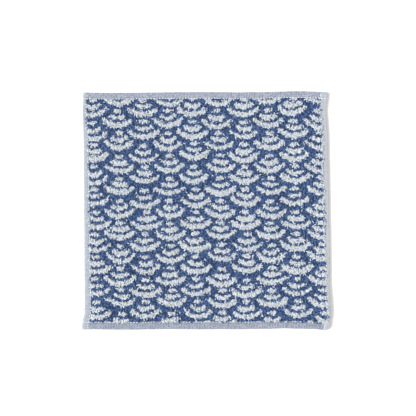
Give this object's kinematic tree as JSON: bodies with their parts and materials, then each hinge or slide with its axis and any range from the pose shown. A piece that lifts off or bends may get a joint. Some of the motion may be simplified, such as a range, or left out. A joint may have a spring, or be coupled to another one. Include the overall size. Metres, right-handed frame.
{
  "type": "square terry tenugui towel",
  "caption": "Square hand towel of terry cloth with narrow flat hems and a woven wave pattern, lying flat with its face up.",
  "frame": {"origin": "on the surface that the towel lies on, under the middle of its outline", "axes": "+X towards the towel's right edge, +Y towards its top edge, +Z out of its face"},
  "size_m": [0.2532, 0.2426, 0.0036],
  "materials": {
    "terry": "matt cotton loops in blue and white",
    "hem": "matt flat-woven pale blue cotton",
    "sewing": "thin pale sewing thread"
  },
  "bodies": {
    "root": {"towel": "terry"}
  },
  "joints": []
}
